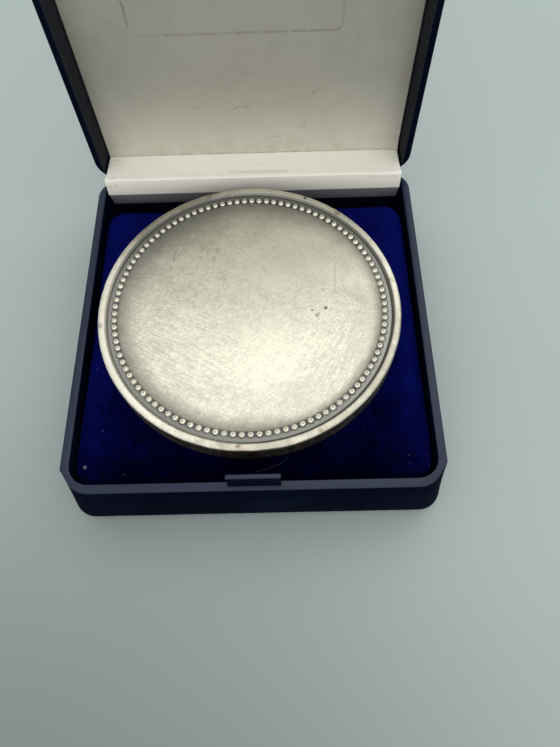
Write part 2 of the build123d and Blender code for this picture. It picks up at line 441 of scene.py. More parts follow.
class Bench:
    """Operator steps that the pieces are shaped with."""

    MERGED_WITHIN = 0.002
    FLAT_WITHIN = 0.6
    SHARP_FROM = 38
    ROUNDING_STEPS = 2

    @staticmethod
    def clear() -> None:
        """Leaves edit mode and deselects everything."""
        if bpy.context.mode != "OBJECT":
            bpy.ops.object.mode_set(mode="OBJECT")
        bpy.ops.object.select_all(action="DESELECT")

    @staticmethod
    def take(piece: bpy.types.Object) -> None:
        """Selects one piece alone and makes it the active one.

        Args:
            piece: The piece.
        """
        Bench.clear()
        piece.select_set(True)
        bpy.context.view_layer.objects.active = piece

    @staticmethod
    def name_new(name: str) -> bpy.types.Object:
        """Names the primitive that was just added.

        Args:
            name: Its name, and its mesh's.

        Returns:
            The primitive.
        """
        piece = bpy.context.active_object
        piece.name = name
        piece.data.name = name
        return piece

    @staticmethod
    def settle(piece: bpy.types.Object) -> None:
        """Puts a piece's place, turn and size into its mesh."""
        Bench.take(piece)
        bpy.ops.object.transform_apply(location=True, rotation=True, scale=True)

    @staticmethod
    def modify(piece: bpy.types.Object, kind: str, **settings: object) -> None:
        """Adds one modifier and applies it.

        Args:
            piece: The piece.
            kind: The modifier's type.
            settings: Its settings.
        """
        Bench.take(piece)
        modifier = piece.modifiers.new(kind.title(), kind)
        for key, value in settings.items():
            setattr(modifier, key, value)
        bpy.ops.object.modifier_apply(modifier=modifier.name)

    @staticmethod
    def choose_edges(piece: bpy.types.Object, test: Callable[[Vector, Vector], bool]) -> None:
        """Selects edges in edit mode.

        Args:
            piece: The piece, which is in edit mode.
            test: Says for an edge's middle and its direction, in millimetres, whether it is chosen.
        """
        bpy.ops.mesh.select_mode(type="EDGE")
        bpy.ops.mesh.select_all(action="DESELECT")
        mesh = bmesh.from_edit_mesh(piece.data)
        for edge in mesh.edges:
            first, second = (vertex.co / MM for vertex in edge.verts)
            edge.select_set(bool(test((first + second) / 2, second - first)))
        bmesh.update_edit_mesh(piece.data)

    @staticmethod
    def raise_rings(profile: list[Point], centre: Place, corners: int, name: str) -> bpy.types.Object:
        """Raises a round piece ring by ring, as a turner would, and closes both ends.

        Args:
            profile: The radius and the height above the centre of each ring.
            centre: The place that the rings stand over.
            corners: How many corners each ring has.
            name: The piece's name.

        Returns:
            The piece.
        """
        x, y, low = (value * MM for value in centre)
        radius, height = profile[0]
        Bench.clear()
        bpy.ops.mesh.primitive_circle_add(vertices=corners, radius=radius * MM, fill_type="NGON",
                                          location=(x, y, low + height * MM))
        piece = Bench.name_new(name)
        bpy.ops.object.mode_set(mode="EDIT")
        bpy.ops.mesh.select_all(action="SELECT")
        for next_radius, next_height in profile[1:]:
            rise = (0, 0, (next_height - height) * MM)
            bpy.ops.mesh.extrude_region_move(TRANSFORM_OT_translate={"value": rise})
            grow = next_radius / radius
            bpy.ops.transform.resize(value=(grow, grow, 1), center_override=(x, y, low + next_height * MM))
            radius, height = next_radius, next_height
        bpy.ops.mesh.select_all(action="SELECT")
        bpy.ops.mesh.normals_make_consistent(inside=False)
        bpy.ops.object.mode_set(mode="OBJECT")
        Bench.settle(piece)
        return piece

    @staticmethod
    def refined_copy(node: str, name: str, rounding: float, crease: float = 32) -> bpy.types.Object:
        """Copies a solid's mesh, joins its loose triangles and rounds its sharp edges a little.

        Args:
            node: The solid's name.
            name: The new piece's name.
            rounding: The width of the rounding in millimetres.
            crease: The angle in degrees from which a fold stays crisp.

        Returns:
            The new piece.
        """
        Bench.clear()
        piece = bpy.data.objects.new(name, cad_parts[node].data.copy())
        piece.data.name = name
        piece.data.materials.clear()
        bpy.context.scene.collection.objects.link(piece)
        Bench.take(piece)
        bpy.ops.object.mode_set(mode="EDIT")
        bpy.ops.mesh.select_all(action="SELECT")
        bpy.ops.mesh.remove_doubles(threshold=Bench.MERGED_WITHIN * MM)
        bpy.ops.mesh.dissolve_limited(angle_limit=math.radians(Bench.FLAT_WITHIN))
        bpy.ops.object.mode_set(mode="OBJECT")
        Bench.modify(piece, "BEVEL", width=rounding * MM, segments=Bench.ROUNDING_STEPS,
                     limit_method="ANGLE", angle_limit=math.radians(Bench.SHARP_FROM),
                     use_clamp_overlap=True)
        Bench.smooth(piece, crease)
        return piece

    @staticmethod
    def smooth(piece: bpy.types.Object, angle: float) -> None:
        """Shades a piece smooth except over edges that are sharper than an angle in degrees."""
        Bench.take(piece)
        bpy.ops.object.shade_smooth_by_angle(angle=math.radians(angle))

    @staticmethod
    def hand_over(piece: bpy.types.Object, node: str, body: Body, slot: Slot,
                  material: bpy.types.Material) -> bpy.types.Object:
        """Gives a piece its finish and puts it in the place of its solid.

        Args:
            piece: The finished piece.
            node: The solid that it stands for.
            body: The part that it moves with.
            slot: The record's finish that it has; not used.
            material: Its material.

        Returns:
            The piece.
        """
        piece.data.materials.clear()
        piece.data.materials.append(material)
        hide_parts(node)
        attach(piece, body.value)
        return piece


# Finishes


@dataclass(frozen=True)
class MedalPlace:
    """A place on the medal from its centre: to the right, to the back, both at once, and outwards."""

    x: Wire
    y: Wire
    flat: Wire
    radius: Wire

    def near_right(self) -> Wire:
        """Returns how far the place lies towards the near right."""
        return self.x * 0.6 - self.y * 0.8

    def far_right(self, reach: float) -> Wire:
        """Marks the far right, which fades in over a reach behind the centre."""
        return self.y.ramp(0.0, reach) * self.x.ramp(-14.0, 6.0)


@dataclass(frozen=True)
class AntiqueSilver:
    """Worn satin silver with dark patina left in the recesses, and painted shade on its side, round the
    beads and at parts of its rim.
    """

    centre: Point
    bead_ring: float
    bead_count: int
    field_edge: float
    band_edge: float
    radius: float
    top: float
    bright: Colour = (0.98, 0.968, 0.808)
    worn: Colour = (0.62, 0.61, 0.51)
    rubbed: Colour = (0.95, 0.94, 0.81)
    wiped: Colour = (1.0, 0.99, 0.835)
    polished: Colour = (1.0, 0.99, 0.92)
    rim_bright: Colour = (0.90, 0.885, 0.765)
    rim_dark_worn_and_shaded: Colour = (0.47, 0.445, 0.365)
    band: Colour = (0.33, 0.335, 0.305)
    patina: Colour = (0.055, 0.056, 0.058)
    edge: Colour = (0.37, 0.345, 0.265)
    side_streaked_shade: Colour = (0.125, 0.110, 0.078)
    stain: Colour = (0.17, 0.11, 0.055)
    scratch: Colour = (0.14, 0.135, 0.12)
    roughness: float = 0.43
    rim_shading: float = 0.34
    hairline_turns: tuple[float, float] = (31.0, -43.0)
    scuff_turns: tuple[float, float] = (-27.0, 62.0)
    rubbing: Span = (0.12, 0.98)
    face_depths: Span = (1.6, 1.2)
    side_depths: Span = (0.45, 0.95)
    bead_top: Span = (0.72, 0.64)
    bead_foot: tuple[Span, Span] = ((0.64, 0.71), (1.00, 0.80))
    bead_dimple: tuple[Span, Span] = ((0.27, 0.20), (0.05, 0.11))
    dark_scratches: tuple[Line, ...] = (
        ((-17.9, 16.6), (-18.5, 13.9), 0.60, 0.34),
        ((-18.9, 12.3), (-19.3, 10.4), 0.50, 0.24),
        ((-7.9, 17.2), (-8.1, 15.9), 0.60, 0.34),
        ((-8.5, 14.6), (-8.9, 12.2), 0.40, 0.20),
        ((20.5, 11.8), (20.1, 3.7), 0.40, 0.24),
        ((11.3, 7.1), (10.0, -2.4), 0.30, 0.12),
        ((0.8, -22.2), (0.9, -25.0), 0.30, 0.20),
        ((-28.7, 10.5), (-26.2, 9.7), 0.26, 0.25),
    )
    brown_pits: tuple[Dot, ...] = (
        ((15.6, -2.5), 0.62, 0.60),
        ((16.1, -2.0), 0.40, 0.45),
        ((14.5, -1.1), 0.42, 0.85),
        ((17.7, -0.6), 0.55, 0.90),
        ((12.3, -0.5), 0.35, 0.35),
        ((21.8, 26.2), 1.10, 0.50),
        ((14.0, 31.2), 0.60, 0.85),
        ((-2.2, -33.8), 0.70, 0.60),
        ((15.0, -30.8), 0.80, 0.40),
        ((27.0, -23.2), 0.90, 0.35),
        ((-34.1, -4.3), 1.00, 0.40),
        ((-10.1, 33.0), 1.00, 0.40),
    )

    def material(self) -> bpy.types.Material:
        """Builds the silver.

        Returns:
            The material.
        """
        g = Graph("antique_silver")
        x, y, z = g.parts(g.vector("SUBTRACT", g.place, (*self.centre, 0)))
        flat = g.join(x, y, 0.0)
        at = MedalPlace(x, y, flat, g.vector("LENGTH", flat, output="Value"))
        face = z.ramp(*(self.top - depth for depth in self.face_depths))
        beads, feet, dimples = self._beads(g, at)
        flecks = g.cloud(0.50, rough=0.68)
        mottle = g.cloud(8.0, rough=0.55)
        wear, scuffs = self._wear(g, at, flecks, mottle)
        scratches, pits, pale = self._marks(g, flat)
        surface = g.mix(wear.ramp(*self.rubbing), self.worn, self.bright)
        wiped = at.far_right(11.0) * (0.45 + (mottle - 0.5) * 0.5)
        surface = g.mix(wiped, surface, self.wiped)
        surface = g.mix(pale, surface, self.polished)
        band = at.radius.ramp(self.field_edge + 0.1, self.field_edge + 0.5) * face * (1.0 - beads)
        surface = g.mix(band, surface, g.mix(y.ramp(-6.0, -30.0) * 0.32, self.band, self.patina))
        surface = g.mix(beads * face * 0.45, surface, self.rubbed)
        rim = at.radius.ramp(self.band_edge - 0.1, self.band_edge + 0.1)
        surface = g.mix(rim, surface, self._rim_tone(g, at, flecks))
        # Painted shade: the medal's side is painted dark, with darker upright streaks.
        streaks = g.cloud(1.1, rough=0.65, stretch=(1.0, 1.0, 2.5))
        side = z.ramp(*(self.top - depth for depth in self.side_depths))
        side = side * at.radius.ramp(self.radius - 0.7, self.radius - 0.2)
        surface = g.mix(side, surface, g.mix(streaks.ramp(0.30, 0.72), self.edge, self.side_streaked_shade))
        # Patina mixed with painted shade round the beads' feet, in their dimples and over the halo's far
        # side.
        shade = self._patina_and_shade(g, at, feet, beads).largest(dimples * 0.6) * face
        surface = g.mix(shade, surface, self.patina)
        surface = g.mix(scratches, surface, self.scratch)
        surface = g.mix(pits, surface, self.stain)
        rough = self.roughness + (flecks - 0.5) * 0.25 + (mottle - 0.5) * 0.12 + shade * 0.15 - rim * 0.02
        grain = g.relief(flecks, 0.03, 0.35)
        drag = g.relief(scuffs + 0.5, 0.03, 0.5, grain)
        waves = g.relief(g.cloud(2.4, detail=2.0, rough=0.5), 0.10, 0.30, drag)
        cut = g.relief(1.0 - scratches.largest(pits), 0.05, 0.6, waves)
        return g.finish(Base_Color=surface, Roughness=rough, Metallic=1.0, Normal=cut)

    def _rim_tone(self, g: Graph, at: MedalPlace, flecks: Wire) -> Wire:
        """Mixes the rim's colour from its worn mottle, painted darker at its near right and at its far left
        as painted shade.

        Args:
            g: The material's graph.
            at: The place on the medal.
            flecks: Fine patches.

        Returns:
            The colour.
        """
        worn = g.cloud(2.6, rough=0.65) * 0.6 + flecks * 0.4
        # Painted shade: the rim's colour is darkened at its near right and at its far left.
        painted_shade = at.near_right().ramp(4.0, 30.0) + at.near_right().ramp(-26.5, -34.0)
        tone = worn - painted_shade * self.rim_shading
        return g.mix(tone.ramp(0.05, 0.55), self.rim_dark_worn_and_shaded, self.rim_bright)

    def _wear(self, g: Graph, at: MedalPlace, flecks: Wire, mottle: Wire) -> tuple[Wire, Wire]:
        """Lays the rubbed flecks, the crossing hairlines and two dragged places into the field.

        Args:
            g: The material's graph.
            at: The place on the medal.
            flecks: Fine patches.
            mottle: Broad patches.

        Returns:
            How bright each place is rubbed, and the dragged hairlines alone.
        """
        rising, falling = (self._hairlines(g, 0.30, 5.0, turn) for turn in self.hairline_turns)
        left, right = (self._hairlines(g, 0.40, 10.0, turn) for turn in self.scuff_turns)
        patches = g.cloud(2.2, detail=2.0)
        scuffs = left * g.spot(at.flat, (-17.0, -10.0), 19.0) + right * g.spot(at.flat, (20.0, -14.0), 14.0)
        hairlines = rising * 0.9 + falling * 0.7
        fine = ((flecks - 0.5) * 1.55 + hairlines * 1.1) * (0.66 + 0.16 * at.y.ramp(8.0, -12.0))
        # Field tone by place: brighter in the middle, just in front of it and at the far right, darker
        # towards the right edge and the near right.
        placed_tone = at.radius.ramp(25.0, 15.0) * 0.18 + g.spot(at.flat, (3.0, -12.0), 12.0) * 0.10
        placed_tone = placed_tone + at.far_right(12.0) * 0.12 - at.x.ramp(22.0, 29.0) * 0.16
        placed_tone = placed_tone - at.near_right().ramp(17.0, 27.0) * 0.13
        wear = fine + (mottle - 0.5) * 0.5 + (patches - 0.5) * 0.45 + scuffs * 1.2 + placed_tone + 0.47
        return wear, scuffs + hairlines * 0.4

    @staticmethod
    def _hairlines(g: Graph, width: float, length: float, turn: float) -> Wire:
        """Adds fine parallel hairlines about 0, each as many widths long as the length says."""
        return g.cloud(width, detail=2.0, stretch=(length, 1.0, 1.0), turn=turn) - 0.5

    def _beads(self, g: Graph, at: MedalPlace) -> tuple[Wire, Wire, Wire]:
        """Finds the beads, the dark ring at each bead's foot and the dimple in its top.

        Args:
            g: The material's graph.
            at: The place on the medal.

        Returns:
            The three masks.
        """
        turns = at.y.math("ARCTAN2", at.y, at.x) * (self.bead_count / math.tau)
        across = (turns.math("FRACT", turns + 0.5) - 0.5) * (math.tau * self.bead_ring / self.bead_count)
        away = g.vector("LENGTH", g.join(across, at.radius - self.bead_ring, 0.0), output="Value")
        foot = away.ramp(*self.bead_foot[0]) * away.ramp(*self.bead_foot[1])
        dimple = away.ramp(*self.bead_dimple[0]) * away.ramp(*self.bead_dimple[1])
        return away.ramp(*self.bead_top), foot, dimple

    def _patina_and_shade(self, g: Graph, at: MedalPlace, feet: Wire, beads: Wire) -> Wire:
        """Lays dark patina into the groove and inside the field's edge, with painted shade round the beads'
        feet and over the halo's far side.

        Args:
            g: The material's graph.
            at: The place on the medal.
            feet: The mask of the beads' feet.
            beads: The mask of the beads.

        Returns:
            How dark each place is.
        """
        x, y, radius = at.x, at.y, at.radius
        smoke = g.cloud(3.0)
        # Painted shade: the halo is widened and darkened towards the far side.
        far = y.ramp(-8.0, 26.0) * (x.ramp(28.0, 2.0) * 0.7 + 0.3)
        low = y.ramp(-18.0, -28.0) * x.ramp(14.0, 2.0)
        wide = 2.0 + far * 7.4 + x.ramp(-4.0, -26.0) * 3.4 + low * 2.6 + (smoke - 0.5) * 4.0
        halo = (radius - self.field_edge - 0.4 + wide) / (wide + 0.4)
        halo = halo.largest(0.0).smallest(1.0) ** 1.3 * (0.74 + y.ramp(5.0, 27.0) * 0.12)
        halo = halo * radius.ramp(self.bead_ring + 0.9, self.bead_ring + 0.3) * (1.0 - beads)
        clear = (x * 0.8 + y * 0.6).ramp(-12.0, -28.0) * 0.45
        groove = abs(radius - (self.band_edge + 0.14)).ramp(0.44, 0.22) * (0.76 - clear)
        # Painted shade as well as patina: a dark ring round each bead's foot.
        return halo.largest(groove).largest(feet * 0.62)

    def _marks(self, g: Graph, flat: Wire) -> tuple[Wire, Wire, Wire]:
        """Places the scratches, pits and pale lines that the field has.

        Args:
            g: The material's graph.
            flat: The place from the medal's centre.

        Returns:
            The dark scratches, the brown pits and the pale marks.
        """
        crooked = g.wavered(flat, 1.4, 0.45)
        scratches = g.strokes(crooked, self.dark_scratches)
        pits = g.spots(g.wavered(flat, 0.6, 0.35), self.brown_pits)
        pale = g.stroke(crooked, (5.4, 4.3), (8.4, 4.5), 0.45)
        pale = pale.largest(g.spot(flat, (1.9, 8.1), 3.2) * 0.30)
        return scratches, pits, pale


@dataclass(frozen=True)
class MouldedPlastic:
    """Fine satin navy moulding, dusty round the lid's lining, glossier at the rims and painted lighter there
    for rubbing and as a painted highlight.
    """

    name: str
    gloss: float
    rims: tuple[Span, ...] = ()
    dusty_within: float = 0.0
    navy: Colour = (0.0013, 0.0025, 0.0098)
    rubbed: Colour = (0.0105, 0.0222, 0.0550)
    dust: Colour = (0.024, 0.026, 0.031)
    lint: Colour = (0.15, 0.16, 0.17)
    dusty_from: Span = (22.0, 24.0)
    dusty_to: Span = (107.0, 105.0)

    def material(self) -> bpy.types.Material:
        """Builds the plastic.

        Returns:
            The material.
        """
        g = Graph(self.name, Specular_IOR_Level=0.005, Coat_Roughness=0.34, Coat_IOR=1.5)
        x, _, z = g.parts(g.place)
        grain = g.cloud(0.22, detail=2.0)
        haze = g.cloud(14.0, rough=0.55)
        rubs = g.cloud(1.1, stretch=(6.0, 1.0, 1.0), turn=20.0)
        rubs_and_rim_highlight = haze.ramp(0.42, 0.72) * 0.12 + rubs.ramp(0.62, 0.8) * 0.15
        gloss = (haze + 0.5) * self.gloss
        # Rims: a lighter colour for rubbing and as a painted highlight, and more coat.
        for low, high in self.rims:
            rim = z.ramp(low, low + 0.4) * z.ramp(high + 0.1, high)
            rubs_and_rim_highlight = rubs_and_rim_highlight.largest(rim * (0.45 + rubs * 0.5))
            gloss = gloss.largest(rim * (0.58 + haze * 0.2))
        colour = g.mix(rubs_and_rim_highlight, self.navy, self.rubbed)
        if self.dusty_within:
            inside = abs(x).ramp(self.dusty_within + 0.5, self.dusty_within)
            inside = inside * z.ramp(*self.dusty_from) * z.ramp(*self.dusty_to)
            colour = g.mix(inside * (0.75 + haze * 0.25), colour, self.dust)
        colour = g.mix(g.specks(3.4, 0.11, 0.10) * 0.4, colour, self.lint)
        skin = g.relief(grain, 0.02, 0.35)
        sag = g.relief(g.cloud(9.0, detail=1.0, rough=0.4), 0.12, 0.25, skin)
        return g.finish(Base_Color=colour, Roughness=0.6 + (rubs - 0.5) * 0.2, Coat_Weight=gloss, Normal=sag)


@dataclass(frozen=True)
class Velvet:
    """Deep royal blue pile with strewn lint, painted lighter towards the back and sides as painted sheen and
    darker at the front middle as painted shade.
    """

    deep: Colour = (0.0002, 0.0003, 0.0060)
    lifted_nap_and_sheen: Colour = (0.0024, 0.0042, 0.0850)
    lint: Colour = (0.16, 0.18, 0.24)
    specks: tuple[Dot, ...] = (
        ((-36.3, -36.65), 0.55, 1.0),
        ((-27.6, -38.4), 0.26, 0.20),
        ((33.4, -35.6), 0.28, 0.20),
        ((37.3, -35.7), 0.26, 0.20),
        ((33.5, -37.3), 0.24, 0.15),
        ((37.7, -37.7), 0.28, 0.20),
        ((-36.3, -13.1), 0.28, 0.30),
        ((-33.2, -28.6), 0.30, 0.30),
    )
    thread: tuple[Point, ...] = (
        (0.7, -38.3), (3.2, -37.8), (4.7, -37.2), (6.0, -36.8), (6.9, -36.0), (7.5, -35.4),
    )
    thread_width: float = 0.2
    thread_strength: float = 0.22

    def material(self) -> bpy.types.Material:
        """Builds the velvet.

        Returns:
            The material.
        """
        g = Graph("royal_blue_velvet", Specular_IOR_Level=0.0, Sheen_Weight=0.2, Sheen_Roughness=0.4,
                  Sheen_Tint=(0.035, 0.055, 0.80))
        x, y, _ = g.parts(g.place)
        flat = g.join(x, y, 0.0)
        pile = g.cloud(0.32, rough=0.7)
        nap = g.cloud(7.0)
        brushed = g.cloud(1.6, stretch=(1.0, 3.5, 1.0), turn=12.0)
        nap_and_sheen = (pile - 0.5) * 0.6 + (nap - 0.5) * 0.45 + (brushed - 0.5) * 0.4
        # Painted sheen: lighter towards the back and the sides; painted shade: darker at the front middle.
        nap_and_sheen = nap_and_sheen + y.ramp(-42.0, 0.0) * 0.40 + 0.22
        nap_and_sheen = nap_and_sheen + abs(x).ramp(28.0, 37.0) * 0.13 - y.ramp(-33.0, -38.0) * abs(x).ramp(34.0, 22.0) * 0.14
        colour = g.mix(nap_and_sheen.ramp(0.1, 0.9), self.deep, self.lifted_nap_and_sheen)
        strewn = g.specks(6.0, 0.14, 0.22).largest(g.specks(4.1, 0.08, 0.25, 31.0) * 0.5) * 0.45
        strewn = strewn.largest(g.spots(flat, self.specks))
        runs = zip(self.thread, self.thread[1:])
        thread = [(start, end, self.thread_width, self.thread_strength) for start, end in runs]
        strewn = strewn.largest(g.strokes(flat, thread))
        colour = g.mix(strewn * 0.6, colour, self.lint)
        fuzz = g.relief(pile, 0.16, 0.7)
        lay = g.relief(brushed, 0.25, 0.4, fuzz)
        return g.finish(Base_Color=colour, Roughness=0.92 + (pile - 0.5) * 0.1, Normal=lay)


@dataclass(frozen=True)
class OffWhiteLining:
    """Smooth warm off-white lining with faint smudges and a faint plain frame line, painted darker upwards
    and in its creases as painted shade.
    """

    frame_corner: Point
    frame_size: Point
    clean: Colour = (0.575, 0.563, 0.485)
    soiled: Colour = (0.470, 0.459, 0.390)
    line: Colour = (0.165, 0.155, 0.125)
    yellow: Colour = (0.400, 0.350, 0.250)
    frame_rounding: float = 1.6
    shaded_from: Span = (23.0, 47.0)
    shading: float = 0.38
    creases: tuple[Line, ...] = (
        ((-13.6, 36.6), (-11.0, 37.9), 1.6, 0.35),
        ((-3.9, 36.2), (-0.4, 36.9), 0.9, 0.60),
        ((15.6, 39.9), (16.9, 40.9), 1.0, 0.40),
        ((12.4, 29.6), (14.0, 31.6), 2.0, 0.35),
        ((5.0, 27.0), (8.5, 27.7), 1.0, 0.25),
        ((-7.2, 31.6), (-4.6, 30.6), 0.9, 0.20),
        ((-10.6, 49.6), (-9.9, 49.0), 1.1, 0.20),
    )

    def material(self) -> bpy.types.Material:
        """Builds the lining.

        Returns:
            The material.
        """
        g = Graph("off_white_lining", Specular_IOR_Level=0.25)
        x, _, z = g.parts(g.place)
        flat = g.join(x, z, 0.0)
        soft = g.wavered(flat, 2.0, 0.7)
        cloudy = g.cloud(22.0, rough=0.55)
        fibre = g.cloud(0.45, detail=2.0)
        smears = g.cloud(4.5)
        dirt = (cloudy - 0.5) * 0.9 + (smears - 0.5) * 0.6 + (fibre - 0.5) * 0.45 + 0.36
        colour = g.mix(dirt.ramp(0.1, 1.0), self.clean, self.soiled)
        # Painted shade: the lining darkens upwards from the hinge end.
        colour = g.vector("SCALE", colour, Scale=1.0 - z.ramp(*self.shaded_from) * self.shading)
        # Painted shade in the creases.
        creases = g.strokes(soft, self.creases) * smears.ramp(0.30, 0.60)
        marks = self._frame_line(g, x, z, flat)
        colour = g.mix(marks.largest(creases * 0.6), colour, self.line)
        foot = z.ramp(22.75, 22.45) * g.cloud(1.6, detail=2.0).ramp(0.35, 0.6)
        colour = g.mix(foot * 0.45, colour, self.line)
        old = z.ramp(32.0, 22.5) * smears.ramp(0.4, 0.75)
        colour = g.mix(old * 0.3, colour, self.yellow)
        weave = g.relief(fibre, 0.05, 0.35)
        dents = g.relief(1.0 - creases, 0.30, 0.5, weave)
        puckers = g.relief(g.cloud(11.0, detail=2.0, rough=0.5), 0.5, 0.22, dents)
        return g.finish(Base_Color=colour, Roughness=0.62 + (fibre - 0.5) * 0.12, Normal=puckers)

    def _frame_line(self, g: Graph, x: Wire, z: Wire, flat: Wire) -> Wire:
        """Draws a faint rounded rectangle that is worn away in places.

        Args:
            g: The material's graph.
            x: The place to the right.
            z: The place upwards.
            flat: Both together.

        Returns:
            How dark the line is.
        """
        half = (self.frame_size[0] / 2, self.frame_size[1] / 2)
        middle = (self.frame_corner[0] + half[0], self.frame_corner[1] + half[1])
        corner = self.frame_rounding
        out_x = (abs(x - middle[0]) - (half[0] - corner)).largest(0.0)
        out_z = (abs(z - middle[1]) - (half[1] - corner)).largest(0.0)
        away = g.vector("LENGTH", g.join(out_x, out_z, 0.0), output="Value")
        broken = g.cloud(2.2, rough=0.7).ramp(0.36, 0.60)
        lost = g.spot(flat, self.frame_corner, 3.0)
        faint = abs(away - corner).ramp(0.42, 0.12) * (0.14 + broken * 0.36) * (1.0 - lost)
        left = self.frame_corner[0]
        dark = g.stroke(flat, (left, 58.6), (left - 0.1, 63.6), 0.75) * (0.35 + broken * 0.35)
        return faint.largest(dark)


@dataclass(frozen=True)
class HingeCover:
    """Satin white strip that is stained yellow in places, given by place across and along the fold; the
    base's strip is painted grey below its fold as painted shade and navy below its foot as a painted
    reflection of the velvet.
    """

    name: str
    stains: tuple[Line, ...]
    fold: float = 0.0
    foot: float = 0.0
    white: Colour = (0.955, 0.95, 0.868)
    grey: Colour = (0.85, 0.84, 0.765)
    yellow: Colour = (0.60, 0.53, 0.36)
    shaded_grey: Colour = (0.190, 0.195, 0.205)
    navy: Colour = (0.0040, 0.0060, 0.0240)

    def material(self) -> bpy.types.Material:
        """Builds the strip's finish.

        Returns:
            The material.
        """
        g = Graph(self.name, Specular_IOR_Level=0.4)
        x, y, z = g.parts(g.place)
        flat = g.wavered(g.join(x, z - y, 0.0), 2.5, 0.5)
        haze = g.cloud(6.0)
        fine = g.cloud(0.6, rough=0.65)
        drag = g.cloud(0.8, stretch=(9.0, 1.0, 1.0))
        soil = (haze - 0.5) * 0.9 + (fine - 0.5) * 0.5 + (drag - 0.5) * 0.6 + 0.22
        colour = g.mix(soil.ramp(0.15, 0.9), self.white, self.grey)
        stains = g.strokes(flat, self.stains) * (0.35 + fine.ramp(0.3, 0.65) * 0.65)
        colour = g.mix(stains, colour, self.yellow)
        # Painted shade below the fold, and the velvet's painted reflection below the foot.
        if self.fold:
            colour = g.mix(z.ramp(self.fold, self.fold - 0.15), colour, self.shaded_grey)
            colour = g.mix(z.ramp(self.foot, self.foot - 0.3), colour, self.navy)
        rough = 0.38 + (haze - 0.5) * 0.2 + (fine - 0.5) * 0.1
        skin = g.relief(fine, 0.03, 0.3)
        waves = g.relief(g.cloud(7.0, detail=2.0, rough=0.5, stretch=(2.0, 1.0, 1.0)), 0.22, 0.4, skin)
        return g.finish(Base_Color=colour, Roughness=rough, Normal=waves)


@dataclass(frozen=True)
class TableTop:
    """Pale matt table that the box stands on, with a broad painted shadow towards the near left."""

    pale: Colour = (0.398, 0.480, 0.478)
    shade: Colour = (0.368, 0.444, 0.442)
    painted_shade: Colour = (0.180, 0.216, 0.214)
    shadow_centre: Point = (-70.0, -190.0)
    shadow_radius: float = 210.0

    def material(self) -> bpy.types.Material:
        """Builds the table's finish.

        Returns:
            The material.
        """
        g = Graph("pale_table", Specular_IOR_Level=0.3)
        broad = g.cloud(130.0, detail=2.0, rough=0.5)
        fine = g.cloud(0.8, detail=2.0)
        tone = (broad - 0.5) * 0.9 + (fine - 0.5) * 0.3 + 0.5
        colour = g.mix(tone.ramp(0.15, 0.85), self.pale, self.shade)
        x, y, _ = g.parts(g.place)
        # Painted shadow: a broad dark patch towards the near left.
        colour = g.mix(g.spot(g.join(x, y, 0.0), self.shadow_centre, self.shadow_radius), colour, self.painted_shade)
        relief = g.relief(fine, 0.03, 0.25)
        return g.finish(Base_Color=colour, Roughness=0.55 + (broad - 0.5) * 0.1, Normal=relief)


# The medal


